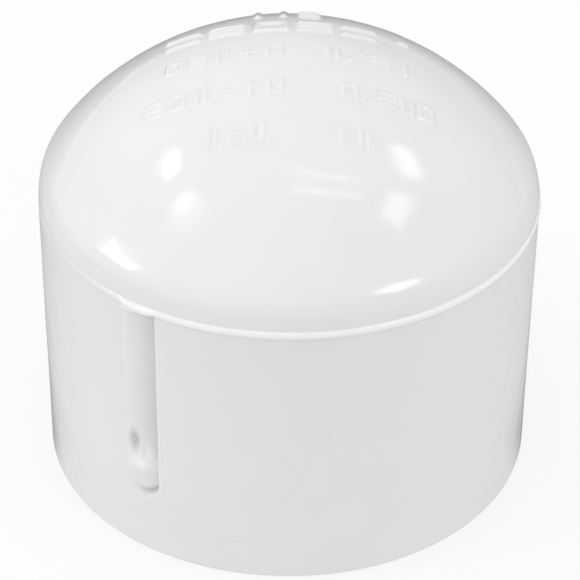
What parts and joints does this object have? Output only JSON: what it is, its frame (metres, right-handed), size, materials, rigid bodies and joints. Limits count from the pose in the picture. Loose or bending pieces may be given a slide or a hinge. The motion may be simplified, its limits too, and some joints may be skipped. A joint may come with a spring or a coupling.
{
  "type": "pipe cap",
  "caption": "Domed slip cap with an open tapered socket that closes the end of a plastic pressure pipe.",
  "frame": {"origin": "centre of the open rim's face, on the cap's axis", "axes": "+Z along the cap's axis from the open rim to the crown; the rows of raised marks read along +X; -Y is the side the marks are read from"},
  "size_m": [0.0564, 0.0564, 0.0508],
  "materials": {
    "white_pvc": "smooth glossy moulded white PVC"
  },
  "bodies": {
    "root": {"cap_body": "white_pvc"}
  },
  "joints": []
}
